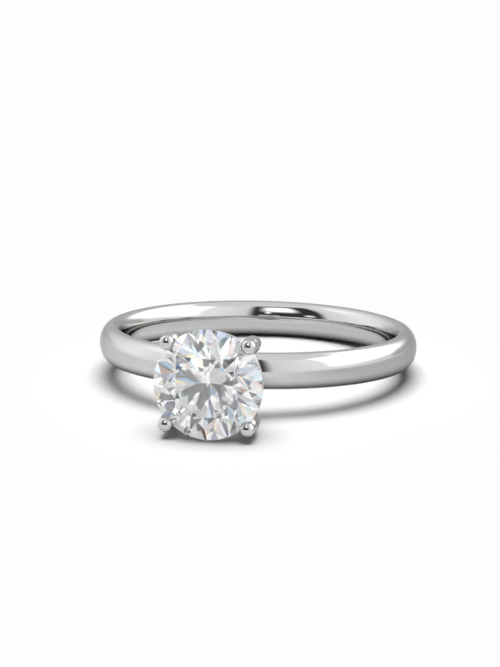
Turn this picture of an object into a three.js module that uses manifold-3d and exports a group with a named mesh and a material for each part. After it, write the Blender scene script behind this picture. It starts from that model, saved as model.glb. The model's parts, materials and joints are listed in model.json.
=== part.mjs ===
// A solitaire engagement ring: a comfort-fit shank, a four-prong basket head on a peg, and a round
// brilliant stone. Millimetres, +Z up.
//
// The ring is drawn in its own frame: origin at the centre of the finger hole, the finger along Z and
// the head towards -Y. The head is drawn in a frame of its own, with +Z pointing out through the stone
// and the same origin. At the end the ring is laid on its side, where it rests on the rim of the stone
// and on the back edge of the shank.

import * as THREE from "three";
import { mergeVertices } from "three/addons/utils/BufferGeometryUtils.js";
import Module from "manifold-3d";

const wasm = await Module();
wasm.setup();

// Clearance between pieces that touch on the real ring.
const gap = 0.3;

// Shank. Its section is an oval whose inner half is the flatter, comfort-fit side.
const fingerRadius = 8.25; // US size 6, 16.5 mm across
const shankWidth = 2.2; // along the finger
const comfortDepth = 0.7; // from the finger's surface out to the widest part of the section
const crownDepth = 0.75; // from the widest part out to the top of the section
const comfortExponent = 2.2; // roundness of the inner half: 2 is an ellipse, more is squarer
const crownExponent = 2;

// Stone: a one carat round brilliant. Lengths given as shares are shares of its diameter or radius.
const stoneDiameter = 6.5;
const girdleHeight = 13.85; // from the centre of the finger hole to the middle of the girdle
const girdleShare = 0.03; // girdle thickness over diameter
const tableShare = 0.57; // table, corner to corner, over diameter
const starShare = 0.5; // how far a star facet reaches from the table towards the girdle
const lowerHalfShare = 0.77; // how far a lower half facet reaches from the girdle towards the culet
const crownAngle = THREE.MathUtils.degToRad(34.5);
const pavilionAngle = THREE.MathUtils.degToRad(40.75);

// Head. Radii are from the head's axis and heights from the centre of the finger hole.
const wireRadius = 0.45;
const clawRadius = 0.47; // the rounded end of each prong
const prongRadius = 3.42;
const clawHeight = 14.24;
const railRadius = 2.16; // gallery rail, under the stone
const railWireRadius = 0.24;
const railHeight = 12.12;
const baseRadius = 1.05; // base rail, on the shank
const baseWireRadius = 0.3;
const pegRadius = 0.45;
const pegRecess = 0.1; // how far the peg's end stays short of the finger's surface
const pegRise = 0.85; // how far the peg stands above the shank

const shankTop = fingerRadius + comfortDepth + crownDepth;
const baseHeight = shankTop + gap + baseWireRadius;

// Centre line of a prong, as radius and height, from its foot at the base rail to its claw.
const prongLine = [
  [1.52, 10.7],
  [2.4, 11.12],
  [3.02, 11.75],
  [3.32, 12.5],
  [prongRadius, 13.3],
  [prongRadius, clawHeight],
];

// How many flats stand for each round shape.
const shankSides = 72;
const sectionSides = 20;
const girdleSides = 64;
const railSides = 40;
const wireSides = 10;
const prongSteps = 16;
const prongSides = 12;
const pegSides = 20;
const domeSteps = 4;

const whiteMetal = { color: 0xd6d3cc, roughness: 0.08, metalness: 1 };
const diamond = { color: 0xf2f6fa, roughness: 0.02, metalness: 0 };

function toSolid(geometry) {
  const bare = geometry.clone();
  bare.deleteAttribute("normal");
  bare.deleteAttribute("uv");
  const merged = mergeVertices(bare);
  const vertProperties = new Float32Array(merged.attributes.position.array);
  const triVerts = new Uint32Array(merged.index.array);
  return new wasm.Manifold(new wasm.Mesh({ numProp: 3, vertProperties, triVerts }));
}

function toGeometry(solid) {
  const mesh = solid.getMesh();
  const geometry = new THREE.BufferGeometry();
  geometry.setAttribute("position", new THREE.BufferAttribute(mesh.vertProperties, 3));
  geometry.setIndex(new THREE.BufferAttribute(mesh.triVerts, 1));
  geometry.computeVertexNormals();
  return geometry;
}

function piece(name, geometry, look) {
  const mesh = new THREE.Mesh(geometry, new THREE.MeshStandardMaterial(look));
  mesh.name = name;
  return mesh;
}

// A solid of revolution about Z from a profile of radius and height.
function turned(profile, sides) {
  const points = profile.map(([radius, height]) => new THREE.Vector2(radius, height));
  return new THREE.LatheGeometry(points, sides).rotateX(Math.PI / 2);
}

// A closed ring of round wire about Z.
function wireRing(radius, wire, height) {
  const profile = [];
  for (let i = 0; i <= wireSides; i += 1) {
    const angle = (2 * Math.PI * (i % wireSides)) / wireSides;
    profile.push([radius + wire * Math.cos(angle), height + wire * Math.sin(angle)]);
  }
  return turned(profile, railSides);
}

// The shank's section: a superellipse with a different depth and roundness inside and outside.
function shankSection() {
  const profile = [];
  for (let i = 0; i <= sectionSides; i += 1) {
    const angle = (2 * Math.PI * (i % sectionSides)) / sectionSides;
    const outside = Math.cos(angle) >= 0;
    const power = 2 / (outside ? crownExponent : comfortExponent);
    const depth = outside ? crownDepth : comfortDepth;
    const across = Math.sign(Math.cos(angle)) * Math.abs(Math.cos(angle)) ** power;
    const along = Math.sign(Math.sin(angle)) * Math.abs(Math.sin(angle)) ** power;
    profile.push([fingerRadius + comfortDepth + depth * across, (shankWidth / 2) * along]);
  }
  return profile;
}

// The shank, drilled through for the head's peg.
function shank() {
  const reach = 2 * (comfortDepth + crownDepth);
  const drill = new THREE.CylinderGeometry(pegRadius + gap, pegRadius + gap, reach, pegSides);
  drill.translate(0, -(fingerRadius + comfortDepth), 0);
  return toGeometry(toSolid(turned(shankSection(), shankSides)).subtract(toSolid(drill)));
}

// The rows of facets. A row's planes lean by `slope` from level, and each passes through the point
// (radius, height) that lies at an azimuth of `aside` from the facet's own.
function facetRows() {
  const radius = stoneDiameter / 2;
  const girdle = (girdleShare * stoneDiameter) / 2;
  const half = Math.PI / 8;
  const quarter = Math.PI / 16;

  const tableCorner = tableShare * radius;
  const tableEdge = tableCorner * Math.cos(half);
  const tableHeight = girdle + (radius - tableCorner) * Math.tan(crownAngle);
  const starTip = tableEdge + starShare * (radius - tableEdge);
  const starTipHeight = girdle + (radius - starTip * Math.cos(half)) * Math.tan(crownAngle);
  const starAngle = Math.atan2(tableHeight - starTipHeight, starTip - tableEdge);
  const upperHalfAngle = Math.atan2(starTipHeight - girdle, (radius - starTip) * Math.cos(quarter));

  const lowerTip = radius * (1 - lowerHalfShare);
  const lowerTipDepth = (radius - lowerTip * Math.cos(half)) * Math.tan(pavilionAngle);
  const lowerHalfAngle = Math.atan2(lowerTipDepth, (radius - lowerTip) * Math.cos(quarter));

  const upperRim = [radius, girdle];
  const lowerRim = [radius, -girdle];
  return [
    { count: 1, first: 0, slope: 0, through: [0, tableHeight], aside: 0 },
    { count: 8, first: half, slope: crownAngle, through: upperRim, aside: 0 },
    { count: 8, first: 0, slope: starAngle, through: [tableEdge, tableHeight], aside: 0 },
    { count: 16, first: quarter, slope: upperHalfAngle, through: upperRim, aside: quarter },
    { count: 8, first: half, slope: Math.PI - pavilionAngle, through: lowerRim, aside: 0 },
    { count: 16, first: quarter, slope: Math.PI - lowerHalfAngle, through: lowerRim, aside: quarter },
  ];
}

// What one flat cut takes off the stone: everything past a plane that faces `azimuth` and leans by
// `slope`, at a distance from the stone's centre.
function facetCutter(azimuth, slope, distance) {
  const level = Math.sin(slope);
  const normal = new THREE.Vector3(level * Math.cos(azimuth), level * Math.sin(azimuth), Math.cos(slope));
  const size = 2 * stoneDiameter;
  const block = new THREE.BoxGeometry(size, size, size);
  block.translate(0, 0, distance + size / 2);
  block.applyQuaternion(new THREE.Quaternion().setFromUnitVectors(new THREE.Vector3(0, 0, 1), normal));
  return toSolid(block);
}

// The brilliant in its place in the head. `grow` moves every face out by that much.
function brilliant(grow) {
  const radius = stoneDiameter / 2 + grow;
  const blank = new THREE.CylinderGeometry(radius, radius, stoneDiameter, girdleSides);
  blank.rotateX(Math.PI / 2);
  let stone = toSolid(blank);
  for (const row of facetRows()) {
    const [across, height] = row.through;
    const distance = across * Math.cos(row.aside) * Math.sin(row.slope) + height * Math.cos(row.slope);
    for (let i = 0; i < row.count; i += 1) {
      const azimuth = row.first + (2 * Math.PI * i) / row.count;
      stone = stone.subtract(facetCutter(azimuth, row.slope, distance + grow));
    }
  }
  return stone.translate([0, 0, girdleHeight]);
}

// A prong: round wire with a ball end, notched to clear the stone.
function prong(azimuth, clearance) {
  const points = prongLine.map(
    ([radius, height]) => new THREE.Vector3(radius * Math.cos(azimuth), radius * Math.sin(azimuth), height),
  );
  const section = new THREE.Shape().absarc(0, 0, wireRadius, 0, 2 * Math.PI);
  const wire = new THREE.ExtrudeGeometry(section, {
    extrudePath: new THREE.CatmullRomCurve3(points),
    steps: prongSteps,
    curveSegments: prongSides / 2,
  });
  const claw = new THREE.SphereGeometry(clawRadius, 16, 12);
  claw.translate(...points.at(-1).toArray());
  return toGeometry(toSolid(wire).add(toSolid(claw)).subtract(clearance));
}

// The peg that locates the head in the shank, with a domed top under the stone's point.
function peg() {
  const top = shankTop + pegRise;
  const dome = pegRadius / 2;
  const profile = [
    [0, fingerRadius + pegRecess],
    [pegRadius, fingerRadius + pegRecess],
  ];
  for (let i = 0; i < domeSteps; i += 1) {
    const angle = (Math.PI / 2) * (i / domeSteps);
    profile.push([pegRadius * Math.cos(angle), top - dome + dome * Math.sin(angle)]);
  }
  profile.push([0, top]);
  return turned(profile, pegSides);
}

function head() {
  const group = new THREE.Group();
  const clearance = brilliant(gap);
  group.add(piece("head_peg", peg(), whiteMetal));
  group.add(piece("base_rail", wireRing(baseRadius, baseWireRadius, baseHeight), whiteMetal));
  group.add(piece("gallery_rail", wireRing(railRadius, railWireRadius, railHeight), whiteMetal));
  const corners = ["upper_right", "upper_left", "lower_left", "lower_right"];
  corners.forEach((corner, i) => {
    const azimuth = Math.PI / 4 + (i * Math.PI) / 2;
    group.add(piece(`prong_${corner}`, prong(azimuth, clearance), whiteMetal));
  });
  group.add(piece("stone", toGeometry(brilliant(0)), diamond));
  group.rotation.x = Math.PI / 2;
  return group;
}

function lowestPoint(object) {
  return new THREE.Box3().setFromObject(object, true).min.z;
}

// Tilts the ring, head up, until the head and the back of the shank reach down to the same level.
function layDown(ring, headGroup, shankMesh) {
  let low = 0;
  let high = Math.PI / 12;
  for (let i = 0; i < 30; i += 1) {
    const tilt = (low + high) / 2;
    ring.rotation.x = -tilt;
    ring.updateMatrixWorld(true);
    if (lowestPoint(headGroup) < lowestPoint(shankMesh)) low = tilt;
    else high = tilt;
  }
}

const shankMesh = piece("shank", shank(), whiteMetal);
const headGroup = head();
const ring = new THREE.Group();
ring.add(shankMesh, headGroup);
layDown(ring, headGroup, shankMesh);

// The origin goes to the middle of the ring's box in plan, on the surface it lies on.
const box = new THREE.Box3().setFromObject(ring, true);
const middle = box.getCenter(new THREE.Vector3());
ring.position.set(-middle.x, -middle.y, -box.min.z);

const solitaire = new THREE.Group();
solitaire.add(ring);

export default solitaire;
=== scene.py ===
"""Looks of the solitaire engagement ring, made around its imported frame.

Metal and stone are modelled in millimetres in the ring's own frames and placed by one matrix each:
  ring frame  origin at the centre of the finger hole, the finger along Z, the head towards -Y
  head frame  same origin, +Z out of the ring through the stone, +X as in the ring frame
"""
import json
import math

import bmesh
import bpy
from mathutils import Matrix, Vector

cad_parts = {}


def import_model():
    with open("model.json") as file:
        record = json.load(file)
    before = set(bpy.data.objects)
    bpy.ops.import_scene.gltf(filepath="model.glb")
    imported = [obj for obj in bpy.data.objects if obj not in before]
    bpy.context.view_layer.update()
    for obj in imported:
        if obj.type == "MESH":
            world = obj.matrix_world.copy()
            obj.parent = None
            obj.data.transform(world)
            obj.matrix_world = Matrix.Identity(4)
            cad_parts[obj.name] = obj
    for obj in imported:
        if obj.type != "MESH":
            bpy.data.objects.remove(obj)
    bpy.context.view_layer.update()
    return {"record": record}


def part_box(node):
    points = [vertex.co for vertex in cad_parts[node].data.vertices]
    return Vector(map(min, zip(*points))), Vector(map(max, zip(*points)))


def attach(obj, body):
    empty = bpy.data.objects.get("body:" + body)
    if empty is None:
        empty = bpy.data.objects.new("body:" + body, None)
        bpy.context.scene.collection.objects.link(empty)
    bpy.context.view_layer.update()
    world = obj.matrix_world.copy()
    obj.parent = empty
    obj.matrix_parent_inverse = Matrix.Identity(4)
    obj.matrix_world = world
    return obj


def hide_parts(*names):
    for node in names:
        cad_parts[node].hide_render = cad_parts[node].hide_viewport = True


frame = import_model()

MM = 0.001
MOUNTS = {mount["name"]: mount for mount in frame["record"]["mounts"]}
HOLE = Vector(MOUNTS["finger_hole"]["pos_m"])
FINGER_AXIS = Vector(MOUNTS["finger_hole"]["axis"])
TABLE = Vector(MOUNTS["table"]["pos_m"])
OUTWARD = Vector(MOUNTS["table"]["axis"])

ring_axes = Matrix((Vector((1, 0, 0)), -OUTWARD, FINGER_AXIS)).transposed().to_4x4()
RING = Matrix.Translation(HOLE) @ ring_axes @ Matrix.Scale(MM, 4)
HEAD = RING @ Matrix.Rotation(math.pi / 2, 4, "X")

# Sizes that the frame gives, in millimetres.
FINGER_RADIUS = MOUNTS["finger_hole"]["dims"]["r_mm"]
SHANK_WIDTH = MOUNTS["finger_hole"]["dims"]["length_mm"]
SHANK_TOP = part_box("shank")[1].x / MM
STONE_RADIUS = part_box("stone")[1].x / MM
TABLE_HEIGHT = (TABLE - HOLE).dot(OUTWARD) / MM

# Shank section: an oval with a flatter, comfort-fit inner half.
COMFORT_DEPTH = 0.7
COMFORT_EXPONENT = 2.2
CROWN_EXPONENT = 2

# Round brilliant proportions.
GIRDLE_SHARE = 0.03
TABLE_SHARE = 0.57
STAR_SHARE = 0.5
LOWER_HALF_SHARE = 0.77
CROWN_ANGLE = math.radians(34.5)
PAVILION_ANGLE = math.radians(40.75)

GIRDLE_HALF = GIRDLE_SHARE * STONE_RADIUS
CROWN_HEIGHT = STONE_RADIUS * (1 - TABLE_SHARE) * math.tan(CROWN_ANGLE)
GIRDLE_HEIGHT = TABLE_HEIGHT - CROWN_HEIGHT - GIRDLE_HALF
CUT_TOLERANCE = 1e-6

# Head. Radii from the head's axis, heights from the centre of the finger hole.
GALLERY = {"radius": 2.56, "wire": 0.3, "height": 12.12}
BASE = {"radius": 1.05, "wire": 0.34, "height": 10.05}

# A prong from its foot to its claw: radius and height of the centre line, and radius of the wire.
PRONG_RADIUS = 3.42
PRONG_LINE = [
    (1.22, 10.25, 0.42),
    (1.75, 10.72, 0.42),
    (2.42, 11.12, 0.43),
    (3.02, 11.75, 0.44),
    (3.29, 12.5, 0.47),
    (PRONG_RADIUS - 0.05, 13.45, 0.53),
    (PRONG_RADIUS, 14.06, 0.43),
    (PRONG_RADIUS, 14.24, 0.45),
]
# The dome on a claw is this share of the wire's radius there in height.
CLAW_DOME = 0.7
# Room between claw and stone.
SEAT_GAP = 0.004

# Half the outline of the peg and its collar, from the end inside the shank's metal to the top of the collar.
PEG_RADIUS = 0.45
COLLAR_RADIUS = 0.78
PEG_OUTLINE = [
    (0.0, FINGER_RADIUS + 0.3),
    (PEG_RADIUS, FINGER_RADIUS + 0.3),
    (PEG_RADIUS, FINGER_RADIUS + 0.5),
    (COLLAR_RADIUS + 0.25, SHANK_TOP - 0.35),
    (COLLAR_RADIUS + 0.1, SHANK_TOP - 0.05),
    (COLLAR_RADIUS, SHANK_TOP + 0.12),
    (COLLAR_RADIUS, SHANK_TOP + 0.5),
    (COLLAR_RADIUS - 0.1, SHANK_TOP + 0.6),
    (0.0, SHANK_TOP + 0.62),
]

# Edges sharper than these, in degrees, are shaded sharp.
METAL_SHARP = 30.0
NOTCH_SHARP = 35.0
FACET_SHARP = 2.2


# ---------------------------------------------------------------- meshes

def turn(count):
    """Evenly spaced angles, once around."""
    return [2 * math.pi * i / count for i in range(count)]


def shade(bm, sharp_angle):
    """Smooth shading but for edges sharper than sharp_angle."""
    limit = math.radians(sharp_angle)
    for face in bm.faces:
        face.smooth = True
    for edge in bm.edges:
        edge.smooth = edge.calc_face_angle(0.0) < limit


def solid_object(name, bm, matrix, sharp_angle=METAL_SHARP):
    """A mesh object from bm, placed by matrix."""
    bmesh.ops.recalc_face_normals(bm, faces=bm.faces)
    shade(bm, sharp_angle)
    bmesh.ops.transform(bm, matrix=matrix, verts=bm.verts)
    mesh = bpy.data.meshes.new(name)
    bm.to_mesh(mesh)
    bm.free()
    thing = bpy.data.objects.new(name, mesh)
    bpy.context.scene.collection.objects.link(thing)
    return thing


def skin(bm, rings, closed=False):
    """Faces from each ring of vertices to the next. A ring of one vertex is a pole."""
    following = rings[1:] + rings[:1] if closed else rings[1:]
    for lower, upper in zip(rings, following):
        sides = max(len(lower), len(upper))
        for i in range(sides):
            j = (i + 1) % sides
            corners = [
                lower[i % len(lower)],
                lower[j % len(lower)],
                upper[j % len(upper)],
                upper[i % len(upper)],
            ]
            bm.faces.new(list(dict.fromkeys(corners)))


def revolve(profile, sides, closed=False):
    """A bmesh turned about Z from (radius, height) points. A closed profile makes a ring."""
    bm = bmesh.new()
    rings = []
    for radius, height in profile:
        angles = turn(sides) if radius else [0.0]
        corners = [(radius * math.cos(a), radius * math.sin(a), height) for a in angles]
        rings.append([bm.verts.new(corner) for corner in corners])
    skin(bm, rings, closed)
    return bm


def wire_ring(radius, wire, height, sides=128, wire_sides=32):
    """A closed ring of round wire about Z."""
    section = [(radius + wire * math.cos(a), height + wire * math.sin(a)) for a in turn(wire_sides)]
    return revolve(section, sides, closed=True)


def superellipse(angle, exponent):
    """(across, along) on a unit superellipse."""
    power = 2 / exponent
    across = math.copysign(abs(math.cos(angle)) ** power, math.cos(angle))
    along = math.copysign(abs(math.sin(angle)) ** power, math.sin(angle))
    return across, along


def shank_section(points=128):
    """(radius, height) points around the shank's section."""
    profile = []
    for angle in turn(points):
        outside = math.cos(angle) >= 0
        across, along = superellipse(angle, CROWN_EXPONENT if outside else COMFORT_EXPONENT)
        depth = SHANK_TOP - FINGER_RADIUS - COMFORT_DEPTH if outside else COMFORT_DEPTH
        profile.append((FINGER_RADIUS + COMFORT_DEPTH + depth * across, SHANK_WIDTH / 2 * along))
    return profile


def facet_rows():
    """(count, first azimuth, slope, (radius, height) of a point on the plane, azimuth to that point)."""
    radius = STONE_RADIUS
    half = math.pi / 8
    quarter = math.pi / 16
    corner = TABLE_SHARE * radius
    edge = corner * math.cos(half)
    star_tip = edge + STAR_SHARE * (radius - edge)
    star_rise = (radius - star_tip * math.cos(half)) * math.tan(CROWN_ANGLE)
    star_slope = math.atan2(CROWN_HEIGHT - star_rise, star_tip - edge)
    upper_slope = math.atan2(star_rise, (radius - star_tip) * math.cos(quarter))
    lower_tip = radius * (1 - LOWER_HALF_SHARE)
    lower_drop = (radius - lower_tip * math.cos(half)) * math.tan(PAVILION_ANGLE)
    lower_slope = math.atan2(lower_drop, (radius - lower_tip) * math.cos(quarter))
    top = GIRDLE_HALF + CROWN_HEIGHT
    table = (1, 0.0, 0.0, (0.0, top), 0.0)
    kites = (8, half, CROWN_ANGLE, (radius, GIRDLE_HALF), 0.0)
    stars = (8, 0.0, star_slope, (edge, top), 0.0)
    upper_halves = (16, quarter, upper_slope, (radius, GIRDLE_HALF), quarter)
    mains = (8, half, math.pi - PAVILION_ANGLE, (radius, -GIRDLE_HALF), 0.0)
    lower_halves = (16, quarter, math.pi - lower_slope, (radius, -GIRDLE_HALF), quarter)
    return [table, kites, stars, upper_halves, mains, lower_halves]


def brilliant(grow=0.0, girdle_sides=192):
    """The stone, cut facet by facet from a cylinder. grow moves every face out by that much."""
    bm = bmesh.new()
    radius = STONE_RADIUS + grow
    bmesh.ops.create_cone(
        bm, cap_ends=True, segments=girdle_sides, radius1=radius, radius2=radius, depth=2 * STONE_RADIUS
    )
    for count, first, slope, (across, height), aside in facet_rows():
        level = math.sin(slope)
        distance = across * math.cos(aside) * level + height * math.cos(slope) + grow
        for angle in turn(count):
            azimuth = first + angle
            normal = Vector((level * math.cos(azimuth), level * math.sin(azimuth), math.cos(slope)))
            cut = bmesh.ops.bisect_plane(
                bm,
                geom=bm.verts[:] + bm.edges[:] + bm.faces[:],
                dist=CUT_TOLERANCE,
                plane_co=normal * distance,
                plane_no=normal,
                clear_outer=True,
            )
            rim = [item for item in cut["geom_cut"] if isinstance(item, bmesh.types.BMEdge)]
            bmesh.ops.edgeloop_fill(bm, edges=rim)
    bmesh.ops.translate(bm, verts=bm.verts, vec=(0, 0, GIRDLE_HEIGHT))
    return bm


def spline_points(knots, steps):
    """Points along a centripetal Catmull-Rom curve through knots, steps to each span."""
    ends = [2 * knots[0] - knots[1], *knots, 2 * knots[-1] - knots[-2]]
    points = []
    for a, b, c, d in zip(ends, ends[1:], ends[2:], ends[3:]):
        t0 = 0.0
        t1 = t0 + (b - a).length ** 0.5
        t2 = t1 + (c - b).length ** 0.5
        t3 = t2 + (d - c).length ** 0.5
        for i in range(steps):
            t = t1 + (t2 - t1) * i / steps
            ab = a.lerp(b, (t - t0) / (t1 - t0))
            bc = b.lerp(c, (t - t1) / (t2 - t1))
            cd = c.lerp(d, (t - t2) / (t3 - t2))
            abc = ab.lerp(bc, (t - t0) / (t2 - t0))
            bcd = bc.lerp(cd, (t - t1) / (t3 - t1))
            points.append(abc.lerp(bcd, (t - t1) / (t2 - t1)))
    points.append(knots[-1].copy())
    return points


def dome(centre, direction, radius, height, steps):
    """Stations (point, direction, radius) of a round end, from its rim outwards. The tip is left off."""
    stations = []
    for i in range(1, steps):
        angle = math.pi / 2 * i / steps
        stations.append((centre + direction * height * math.sin(angle), direction, radius * math.cos(angle)))
    return stations


def prong(azimuth, wire_sides=48, steps=14, end_steps=14):
    """A prong: round wire with a ball foot, a shoulder behind its claw end and a low dome on it."""
    profile = spline_points([Vector(knot) for knot in PRONG_LINE], steps)
    line = [Vector((r * math.cos(azimuth), r * math.sin(azimuth), h)) for r, h, _ in profile]
    side = Vector((-math.sin(azimuth), math.cos(azimuth), 0))
    stations = []
    for i, (point, knot) in enumerate(zip(line, profile)):
        ahead = line[min(i + 1, len(line) - 1)] - line[max(i - 1, 0)]
        stations.append((point, ahead.normalized(), knot.z))
    foot, foot_direction, foot_radius = stations[0]
    tip, tip_direction, tip_radius = stations[-1]
    tip_height = CLAW_DOME * tip_radius
    low = dome(foot, foot_direction, foot_radius, -foot_radius, end_steps)
    high = dome(tip, tip_direction, tip_radius, tip_height, end_steps)
    bm = bmesh.new()
    rings = [[bm.verts.new(foot - foot_direction * foot_radius)]]
    for point, direction, radius in low[::-1] + stations + high:
        other = direction.cross(side)
        spokes = [math.cos(a) * side + math.sin(a) * other for a in turn(wire_sides)]
        rings.append([bm.verts.new(point + radius * spoke) for spoke in spokes])
    rings.append([bm.verts.new(tip + tip_direction * tip_height)])
    skin(bm, rings)
    return bm


def cut_with(thing, cutter):
    """Takes the cutter's volume off thing, for good."""
    modifier = thing.modifiers.new("notch", "BOOLEAN")
    modifier.operation = "DIFFERENCE"
    modifier.solver = "EXACT"
    modifier.object = cutter
    evaluated = thing.evaluated_get(bpy.context.evaluated_depsgraph_get())
    mesh = bpy.data.meshes.new_from_object(evaluated)
    thing.modifiers.clear()
    thing.data = mesh
    bm = bmesh.new()
    bm.from_mesh(mesh)
    shade(bm, NOTCH_SHARP)
    bm.to_mesh(mesh)
    bm.free()


# ---------------------------------------------------------------- materials

DIAMOND_IOR = 2.417

# White gold between the buffing clouds and in them, and its tint where light only grazes it.
GOLD_CLEAR = (0.615, 0.615, 0.605, 1)
GOLD_CLOUDED = (0.585, 0.585, 0.572, 1)
GOLD_GRAZED = (0.72, 0.72, 0.72, 1)
# Least and most.
GOLD_ROUGHNESS = (0.035, 0.085)
GIRDLE_ROUGHNESS = (0.2, 0.5)

# Features to the metre, and depths in metres.
CLOUD_SCALE = 700
POLISH_SCALE = 9000
POLISH_STRETCH = (0.06, 1, 1)
POLISH_DEPTH = 0.0000003
GRAIN_SCALE = 20000
GRAIN_DEPTH = 0.000004

# The floor's own level, and the levels at which reflections and the stone see it by place. These are painted
# light and shade: the floor itself is evenly pale. Each pair of levels has a pair of limits: the first holds
# up to the first limit, the second from the second limit on.
FLOOR_ALBEDO = 0.9
# Near the ring: by metres towards the front left.
FRONT_LEFT = (-0.64, -0.77, 0)
NEAR_LEVELS = (0.62, 0.88)
NEAR_LIMITS = (-0.008, 0.01)
# Far from the ring: by how straight behind it a place is, as a cosine.
FAR_LEVELS = (0.92, 0.55)
FAR_LIMITS = (0.55, 0.95)
# Near gives way to far over these distances in metres.
NEAR_TO_FAR = (0.025, 0.14)
# In the finger hole and around it, by metres from its middle: a painted shadow, a dark ring under the band
# that only reflections see, and painted light, brighter than the floor, in the middle of the hole.
INSIDE_LEVELS = (1.12, 0.6)
INSIDE_LIMITS = (0.007, 0.0088)
OUTSIDE_LEVELS = (0.6, 1.0)
OUTSIDE_LIMITS = (0.009, 0.0125)

# What the stone sees is mottled. On the floor this is painted light and shade, seen only through the stone.
# Patches to the metre on the floor, and to the radian in the studio.
MOTTLE_LEVELS = (0.64, 1.11)
MOTTLE_LIMITS = (0.42, 0.58)
FLOOR_MOTTLE_SCALE = 55
STUDIO_MOTTLE_SCALE = 5


def new_material(name):
    """A material, its node tree and its shader."""
    material = bpy.data.materials.new(name)
    material.use_nodes = True
    nodes = material.node_tree.nodes
    shader = next(node for node in nodes if node.type == "BSDF_PRINCIPLED")
    return material, material.node_tree, shader


def feed(tree, value, socket):
    """Links another node's output to socket, or sets socket to a number, a triple or a colour."""
    if isinstance(value, bpy.types.NodeSocket):
        tree.links.new(value, socket)
    else:
        socket.default_value = value


def math_node(tree, operation, *values):
    """A Math node's output. A value is a number or another node's output."""
    node = tree.nodes.new("ShaderNodeMath")
    node.operation = operation
    for socket, value in zip(node.inputs, values):
        feed(tree, value, socket)
    return node.outputs[0]


def vector_node(tree, operation, *values):
    """A Vector Math node's number. A value is a triple or another node's output."""
    node = tree.nodes.new("ShaderNodeVectorMath")
    node.operation = operation
    for socket, value in zip(node.inputs, values):
        feed(tree, value, socket)
    return node.outputs["Value"]


def components(tree, vector):
    """The X, Y and Z of a vector."""
    node = tree.nodes.new("ShaderNodeSeparateXYZ")
    tree.links.new(vector, node.inputs[0])
    return node.outputs


def soft_step(tree, value, start, end):
    """0 where value is at start, 1 where it is at end, with smooth ends."""
    node = tree.nodes.new("ShaderNodeMapRange")
    node.interpolation_type = "SMOOTHSTEP"
    node.inputs["From Min"].default_value = start
    node.inputs["From Max"].default_value = end
    tree.links.new(value, node.inputs["Value"])
    return node.outputs["Result"]


def between(tree, factor, low, high):
    """A number: low where factor is 0, high where it is 1."""
    return math_node(tree, "MULTIPLY_ADD", factor, high - low, low)


def mixed(tree, factor, low, high):
    """A colour: low where factor is 0, high where it is 1. Each is a colour or another node's output."""
    node = tree.nodes.new("ShaderNodeMix")
    node.data_type = "RGBA"
    colours = [socket for socket in node.inputs if socket.type == "RGBA"]
    feed(tree, low, colours[0])
    feed(tree, high, colours[1])
    tree.links.new(factor, node.inputs[0])
    return next(socket for socket in node.outputs if socket.type == "RGBA")


def noise(tree, coordinates, scale, detail, stretch=None):
    """A noise value over coordinates, scale features to each unit of them, drawn out by stretch."""
    if stretch:
        mapping = tree.nodes.new("ShaderNodeMapping")
        mapping.inputs["Scale"].default_value = stretch
        tree.links.new(coordinates, mapping.inputs["Vector"])
        coordinates = mapping.outputs["Vector"]
    node = tree.nodes.new("ShaderNodeTexNoise")
    node.inputs["Scale"].default_value = scale
    node.inputs["Detail"].default_value = detail
    tree.links.new(coordinates, node.inputs["Vector"])
    return node.outputs["Fac"]


def mottle(tree, coordinates, scale):
    """A factor that varies from patch to patch, so that the stone's facets differ from one another. On the
    floor it is painted light and shade.
    """
    patches = soft_step(tree, noise(tree, coordinates, scale, 1), *MOTTLE_LIMITS)
    return between(tree, patches, *MOTTLE_LEVELS)


def bumped(tree, shader, height, depth):
    """Raises the surface by depth metres where height is 1."""
    node = tree.nodes.new("ShaderNodeBump")
    node.inputs["Strength"].default_value = 1.0
    node.inputs["Distance"].default_value = depth
    tree.links.new(height, node.inputs["Height"])
    tree.links.new(node.outputs["Normal"], shader.inputs["Normal"])


def white_gold():
    """Mirror-polished white gold: buffing clouds in its colour and gloss, and hair-fine polishing lines."""
    material, tree, shader = new_material("white_metal_polished")
    place = tree.nodes.new("ShaderNodeTexCoord").outputs["Object"]
    clouds = noise(tree, place, CLOUD_SCALE, 3)
    roughness = between(tree, soft_step(tree, clouds, 0.25, 0.8), *GOLD_ROUGHNESS)
    lines = noise(tree, place, POLISH_SCALE, 2, POLISH_STRETCH)
    shader.inputs["Metallic"].default_value = 1.0
    shader.inputs["Specular Tint"].default_value = GOLD_GRAZED
    tree.links.new(mixed(tree, clouds, GOLD_CLEAR, GOLD_CLOUDED), shader.inputs["Base Color"])
    tree.links.new(roughness, shader.inputs["Roughness"])
    bumped(tree, shader, lines, POLISH_DEPTH)
    return material


def diamond_facets():
    """Clear stone under polished facets."""
    material, tree, shader = new_material("diamond_facets")
    shader.inputs["Base Color"].default_value = (1, 1, 1, 1)
    shader.inputs["Roughness"].default_value = 0.0
    shader.inputs["IOR"].default_value = DIAMOND_IOR
    shader.inputs["Transmission Weight"].default_value = 1.0
    return material


def diamond_girdle():
    """The bruted edge of the stone, frosted by fine grain."""
    material, tree, shader = new_material("diamond_girdle")
    grain = noise(tree, tree.nodes.new("ShaderNodeTexCoord").outputs["Object"], GRAIN_SCALE, 2)
    shader.inputs["Base Color"].default_value = (0.95, 0.95, 0.95, 1)
    shader.inputs["IOR"].default_value = DIAMOND_IOR
    shader.inputs["Transmission Weight"].default_value = 1.0
    tree.links.new(between(tree, grain, *GIRDLE_ROUGHNESS), shader.inputs["Roughness"])
    bumped(tree, shader, grain, GRAIN_DEPTH)
    return material


def stepped(tree, value, limits, levels):
    """A number that goes softly from the first level to the second between the two limits of value."""
    return between(tree, soft_step(tree, value, *limits), *levels)


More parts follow.
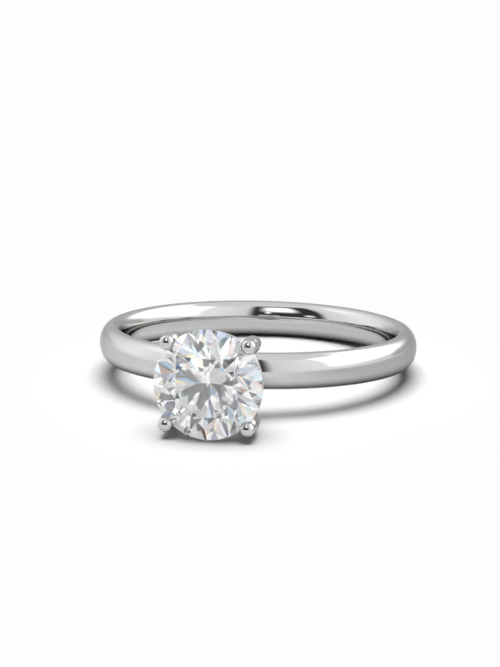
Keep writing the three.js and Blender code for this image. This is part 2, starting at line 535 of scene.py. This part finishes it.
def floor_white():
    """Pale floor. Reflections and the stone see it with painted shade, dimmer near the ring and far behind
    it.

    Reflections also see a painted shadow, dark under the band, and painted light in the finger hole. The
    stone sees it mottled instead, with painted light and shade.
    """
    material, tree, shader = new_material("floor_white")
    shader.inputs["Roughness"].default_value = 0.9
    shader.inputs["Specular IOR Level"].default_value = 0.0
    place = tree.nodes.new("ShaderNodeNewGeometry").outputs["Position"]
    towards_front_left = vector_node(tree, "DOT_PRODUCT", place, FRONT_LEFT)
    near = stepped(tree, towards_front_left, NEAR_LIMITS, NEAR_LEVELS)
    distance = vector_node(tree, "LENGTH", place)
    backness = math_node(tree, "DIVIDE", components(tree, place)["Y"], distance)
    far = stepped(tree, backness, FAR_LIMITS, FAR_LEVELS)
    level = mixed(tree, soft_step(tree, distance, *NEAR_TO_FAR), near, far)
    # Painted shadow under the band and painted light in the finger hole, seen only in reflections.
    from_hole = vector_node(tree, "DISTANCE", place, (HOLE.x, HOLE.y, 0))
    inside = stepped(tree, from_hole, INSIDE_LIMITS, INSIDE_LEVELS)
    outside = stepped(tree, from_hole, OUTSIDE_LIMITS, OUTSIDE_LEVELS)
    reflected = math_node(tree, "MULTIPLY", level, math_node(tree, "MAXIMUM", inside, outside))
    # Painted light and shade in patches, seen only through the stone.
    refracted = math_node(tree, "MULTIPLY", level, mottle(tree, place, FLOOR_MOTTLE_SCALE))
    albedo = (FLOOR_ALBEDO, FLOOR_ALBEDO, FLOOR_ALBEDO, 1)
    ray = tree.nodes.new("ShaderNodeLightPath")
    # Reflections and the stone see the floor with its painted light and shade. The camera and the lamp see
    # the plain albedo.
    colour = mixed(tree, ray.outputs["Is Glossy Ray"], albedo, reflected)
    colour = mixed(tree, ray.outputs["Is Transmission Ray"], colour, refracted)
    tree.links.new(colour, shader.inputs["Base Color"])
    return material


# ---------------------------------------------------------------- pieces

metal = white_gold()


def stands_for(thing, node, slot, *materials):
    """Gives thing its materials and has it replace the frame's node."""
    thing.data.materials.clear()
    for material in materials:
        thing.data.materials.append(material)
    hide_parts(node)
    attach(thing, "root")


shank = solid_object("shank_polished", revolve(shank_section(), 384, closed=True), RING)
stands_for(shank, "shank", "white_metal", metal)
peg_and_collar = solid_object("peg_and_collar", revolve(PEG_OUTLINE, 64), HEAD)
stands_for(peg_and_collar, "head_peg", "white_metal", metal)
base_rail = solid_object("base_rail_wire", wire_ring(**BASE), HEAD)
stands_for(base_rail, "base_rail", "white_metal", metal)
gallery_rail = solid_object("gallery_rail_wire", wire_ring(**GALLERY), HEAD)
stands_for(gallery_rail, "gallery_rail", "white_metal", metal)

seat = solid_object("seat_cutter", brilliant(grow=SEAT_GAP), HEAD)
for index, corner in enumerate(("upper_right", "upper_left", "lower_left", "lower_right")):
    claw = solid_object(f"claw_{corner}", prong(math.pi / 4 + index * math.pi / 2), HEAD)
    cut_with(claw, seat)
    stands_for(claw, f"prong_{corner}", "white_metal", metal)
bpy.data.objects.remove(seat)

stone = solid_object("round_brilliant", brilliant(), HEAD, FACET_SHARP)
stands_for(stone, "stone", "diamond", diamond_facets(), diamond_girdle())
for face in stone.data.polygons:
    stands_upright = abs(face.normal.dot(OUTWARD)) < 0.01
    face.material_index = int(stands_upright)


# ---------------------------------------------------------------- studio

# The studio is a pale tent with panels of other brightness on it, each laid over those before it. Azimuths
# are degrees to the right of -Y, elevations degrees above the floor. A panel fades out over twice its edge,
# in degrees; side_edge is for its left and right edges where they are softer.
TENT = 1.0
PANELS = [
    # The back, and the left with a brighter band high up on it.
    dict(azimuth=187, half_width=24, low=-20, high=57, edge=10, side_edge=12, brightness=0.78),
    dict(azimuth=262, half_width=28, low=-2, high=64, edge=12, side_edge=28, brightness=1.3),
    dict(azimuth=265, half_width=16, low=42, high=58, edge=12, brightness=1.6),
    # The right of the front.
    dict(azimuth=65, half_width=27, low=2, high=55, edge=6, side_edge=20, brightness=1.22),
    # Low down at the back.
    dict(azimuth=212, half_width=26, low=-20, high=7, edge=5, side_edge=12, brightness=0.78),
    dict(azimuth=160, half_width=32, low=-20, high=9, edge=5, brightness=0.63),
    # Two lamps with soft boxes, on the right and behind it.
    dict(azimuth=100, half_width=33, low=10, high=57, edge=5, brightness=2.0),
    dict(azimuth=138, half_width=22, low=12.5, high=57, edge=4, side_edge=13, brightness=2.0),
]
# A dark screen in front, with three lamps in it.
SCREEN = [
    dict(azimuth=346, half_width=34, low=-20, high=62, edge=5, brightness=0.05),
    dict(azimuth=352, half_width=15, low=28, high=54, edge=7, brightness=2.1),
    dict(azimuth=326, half_width=4, low=12, high=17, edge=3, brightness=1.7),
    dict(azimuth=4, half_width=2, low=19, high=26, edge=2, brightness=1.8),
]
# The screen as the stone sees it: lower, with one lamp that is smaller and lower too.
STONE_SCREEN = [
    dict(azimuth=346, half_width=34, low=-20, high=55, edge=5, brightness=0.05),
    dict(azimuth=352, half_width=14, low=24, high=43, edge=7, brightness=2.1),
]

# Light that leaves the stone is spread into colours, so red, green and blue see the studio a little apart.
FIRE_SPREAD = math.radians(1.2)
STONE_VEIL = 0.05
STONE_LIGHT = 0.74

# A wide soft light straight overhead lights the floor only.
OVERHEAD_ANGLE = math.radians(53)
FLOOR_BRIGHTNESS = 0.98
FLOOR_HALF = 2.0

CAMERA_ELEVATION = math.radians(15.613)
CAMERA_AZIMUTH = math.radians(12.233)
CAMERA_DISTANCE = 0.24
CAMERA_LENS = 211.43
CAMERA_SENSOR = 36
AIM_RIGHT = -0.5038 * MM
AIM_UP = 0.6041 * MM

# Light turns back many times inside the stone, and a few times between the metal pieces.
STONE_BOUNCES = 32
METAL_BOUNCES = 8


def floor():
    """The plain surface that the ring lies on."""
    bm = bmesh.new()
    bmesh.ops.create_grid(bm, x_segments=1, y_segments=1, size=FLOOR_HALF)
    thing = solid_object("floor", bm, Matrix.Identity(4))
    thing.data.materials.append(floor_white())


def studio_light(tree, panels, azimuth, elevation):
    """Brightness of the studio in a direction."""
    light = TENT
    for panel in panels:
        edge = math.radians(panel["edge"])
        side_edge = math.radians(panel.get("side_edge", panel["edge"]))
        turned = math_node(tree, "SUBTRACT", azimuth, math.radians(panel["azimuth"]))
        aside = math_node(tree, "ABSOLUTE", math_node(tree, "WRAP", turned, math.pi, -math.pi))
        half = math.radians(panel["half_width"])
        low = math.radians(panel["low"])
        high = math.radians(panel["high"])
        across = soft_step(tree, aside, half + side_edge, half - side_edge)
        above = soft_step(tree, elevation, low - edge, low + edge)
        below = soft_step(tree, elevation, high + edge, high - edge)
        mask = math_node(tree, "MULTIPLY", across, math_node(tree, "MULTIPLY", above, below))
        step = math_node(tree, "SUBTRACT", panel["brightness"], light)
        light = math_node(tree, "ADD", light, math_node(tree, "MULTIPLY", mask, step))
    return light


def stone_light(tree, azimuth, elevation):
    """Brightness of the studio in a direction as the stone sees it."""
    place = tree.nodes.new("ShaderNodeCombineXYZ")
    tree.links.new(azimuth, place.inputs["X"])
    tree.links.new(elevation, place.inputs["Y"])
    light = studio_light(tree, PANELS + STONE_SCREEN, azimuth, elevation)
    light = math_node(tree, "MULTIPLY", light, mottle(tree, place.outputs[0], STUDIO_MOTTLE_SCALE))
    return math_node(tree, "MULTIPLY_ADD", light, STONE_LIGHT, STONE_VEIL)


def world():
    """The studio around the ring. It is seen in the metal and the stone, and doesn't light the floor."""
    sky = bpy.data.worlds.new("studio")
    bpy.context.scene.world = sky
    sky.use_nodes = True
    sky.cycles_visibility.diffuse = False
    tree = sky.node_tree
    direction = components(tree, tree.nodes.new("ShaderNodeTexCoord").outputs["Generated"])
    to_front = math_node(tree, "MULTIPLY", direction["Y"], -1.0)
    azimuth = math_node(tree, "ARCTAN2", direction["X"], to_front)
    elevation = math_node(tree, "ARCSINE", direction["Z"])
    fire = tree.nodes.new("ShaderNodeCombineColor")
    for channel, spread in zip(fire.inputs, (-FIRE_SPREAD, 0.0, FIRE_SPREAD)):
        aside = math_node(tree, "ADD", azimuth, spread)
        above = math_node(tree, "ADD", elevation, spread)
        tree.links.new(stone_light(tree, aside, above), channel)
    is_refracted = tree.nodes.new("ShaderNodeLightPath").outputs["Is Transmission Ray"]
    reflected = studio_light(tree, PANELS + SCREEN, azimuth, elevation)
    colour = mixed(tree, is_refracted, reflected, fire.outputs["Color"])
    tree.links.new(colour, tree.nodes["Background"].inputs["Color"])


def overhead():
    """The floor's own light."""
    data = bpy.data.lights.new("overhead", "SUN")
    data.angle = OVERHEAD_ANGLE
    data.energy = math.pi * FLOOR_BRIGHTNESS / FLOOR_ALBEDO
    lamp = bpy.data.objects.new("overhead", data)
    lamp.visible_glossy = False
    lamp.visible_transmission = False
    bpy.context.scene.collection.objects.link(lamp)


def camera():
    """The camera, aimed beside and above the centre of the finger hole by AIM_RIGHT and AIM_UP."""
    level = math.cos(CAMERA_ELEVATION)
    towards = Vector((
        math.sin(CAMERA_AZIMUTH) * level,
        -math.cos(CAMERA_AZIMUTH) * level,
        math.sin(CAMERA_ELEVATION),
    ))
    right = Vector((math.cos(CAMERA_AZIMUTH), math.sin(CAMERA_AZIMUTH), 0))
    up = towards.cross(right)
    data = bpy.data.cameras.new("camera")
    data.lens = CAMERA_LENS
    data.sensor_width = CAMERA_SENSOR
    data.clip_start = 0.01
    data.clip_end = 10
    eye = bpy.data.objects.new("camera", data)
    place = HOLE + AIM_RIGHT * right + AIM_UP * up + CAMERA_DISTANCE * towards
    axes = Matrix((right, up, towards)).transposed().to_4x4()
    eye.matrix_world = Matrix.Translation(place) @ axes
    bpy.context.scene.collection.objects.link(eye)
    bpy.context.scene.camera = eye


floor()
world()
overhead()
camera()
bpy.context.scene.view_settings.view_transform = "Standard"
bpy.context.scene.cycles.max_bounces = STONE_BOUNCES
bpy.context.scene.cycles.transmission_bounces = STONE_BOUNCES
bpy.context.scene.cycles.glossy_bounces = METAL_BOUNCES
